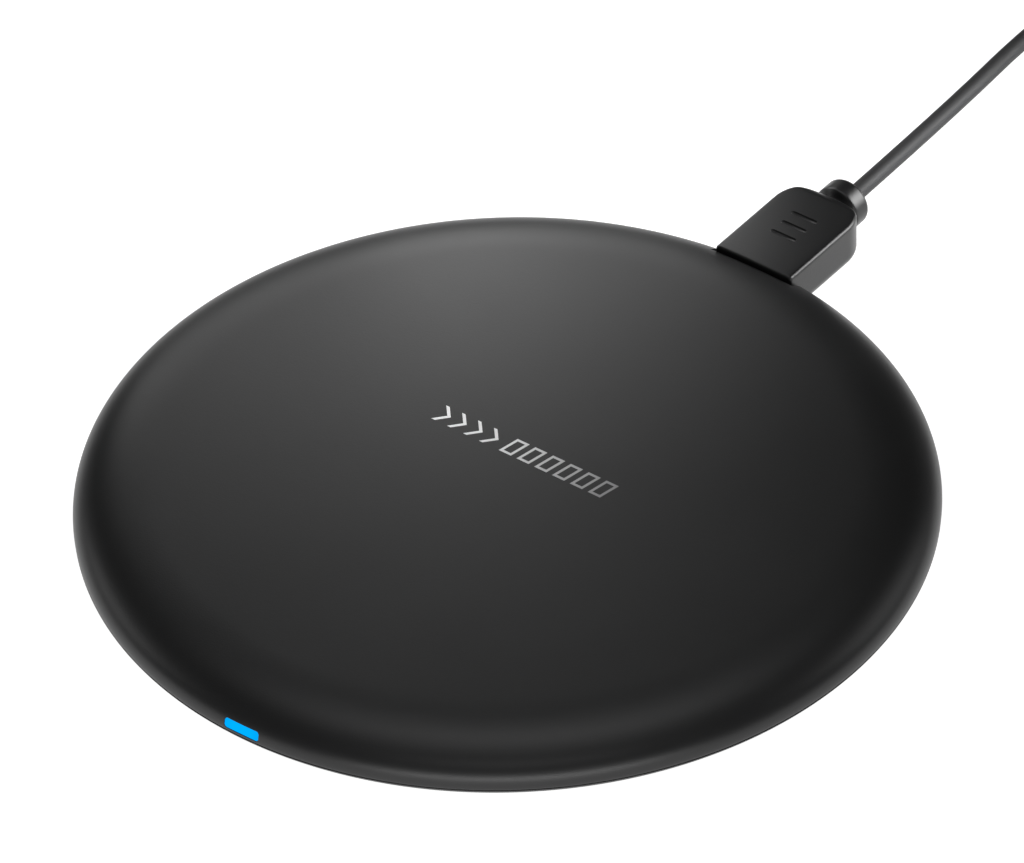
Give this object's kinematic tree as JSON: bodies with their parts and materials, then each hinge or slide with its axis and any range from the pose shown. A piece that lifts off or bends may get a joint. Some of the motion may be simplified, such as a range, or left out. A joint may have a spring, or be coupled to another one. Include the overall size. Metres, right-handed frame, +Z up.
{
  "type": "wireless charging pad",
  "caption": "Round flat wireless charging pad with a softly rounded rim, a status light on the front edge and a plug-in lead at the back, its spare length coiled.",
  "frame": {"origin": "centre of the round pad on the plane it stands on", "axes": "+Z up through the pad's centre, +Y towards the port and the lead, -Y towards the status light, +X to the right seen from the front"},
  "size_m": [0.106, 0.2157, 0.0098],
  "materials": {
    "soft_touch_shell": "soft-touch painted plastic, matte black",
    "shell_plain": "fine-grained black plastic",
    "silicone": "matte dark grey silicone",
    "light_pipe": "translucent light pipe, lit blue",
    "screw_steel": "zinc-plated steel",
    "adhesive_tape": "double-sided tape",
    "copper": "enamelled copper litz",
    "ferrite": "sintered ferrite, dark grey",
    "component_black": "moulded epoxy package",
    "board_green": "green solder resist",
    "foam": "black foam",
    "capacitor_tan": "ceramic body",
    "tin_plate": "nickel-plated steel",
    "led_body": "white package",
    "connector_black": "glass-filled nylon",
    "contact_gold": "gold-plated contact",
    "connector_clear": "natural polyethylene pre-moulding",
    "plug_black": "satin black moulded PVC",
    "cord_black": "satin black PVC jacket",
    "tie_black": "matte black strap"
  },
  "bodies": {
    "pad": {"top_cover": "soft_touch_shell", "bottom_cover": "shell_plain", "foot_ring": "silicone", "light_pipe": "light_pipe", "case_screws": "screw_steel", "coil_adhesive": "adhesive_tape", "charging_coil": "copper", "ferrite_sheet": "ferrite", "ferrite_tape": "adhesive_tape", "thermistor": "component_black", "coil_leads": "copper", "circuit_board": "board_green", "board_screws": "screw_steel", "board_pad": "foam", "controller_chip": "component_black", "bridge_mosfets": "component_black", "resonant_capacitors": "capacitor_tan", "input_capacitors": "capacitor_tan", "power_inductor": "ferrite", "crystal": "tin_plate", "chip_resistors": "component_black", "status_leds": "led_body", "receptacle_shell": "tin_plate", "receptacle_tongue": "connector_black", "receptacle_contacts": "contact_gold"},
    "cable": {"micro_plug_shell": "tin_plate", "micro_plug_latches": "tin_plate", "micro_plug_insulator": "connector_black", "micro_plug_contacts": "contact_gold", "micro_plug_inner_mould": "connector_clear", "micro_plug_overmold": "plug_black", "cord_run": "cord_black", "cord_coil": "cord_black", "cord_tail": "cord_black", "coil_ties": "tie_black", "usb_a_overmold": "plug_black", "usb_a_shell": "tin_plate", "usb_a_insulator": "connector_black", "usb_a_contacts": "contact_gold"}
  },
  "joints": [
    {"name": "plug_slide", "type": "slide", "parent": "pad", "child": "cable", "axis": [0, 1, 0], "range_m": [0, 0.015]}
  ]
}
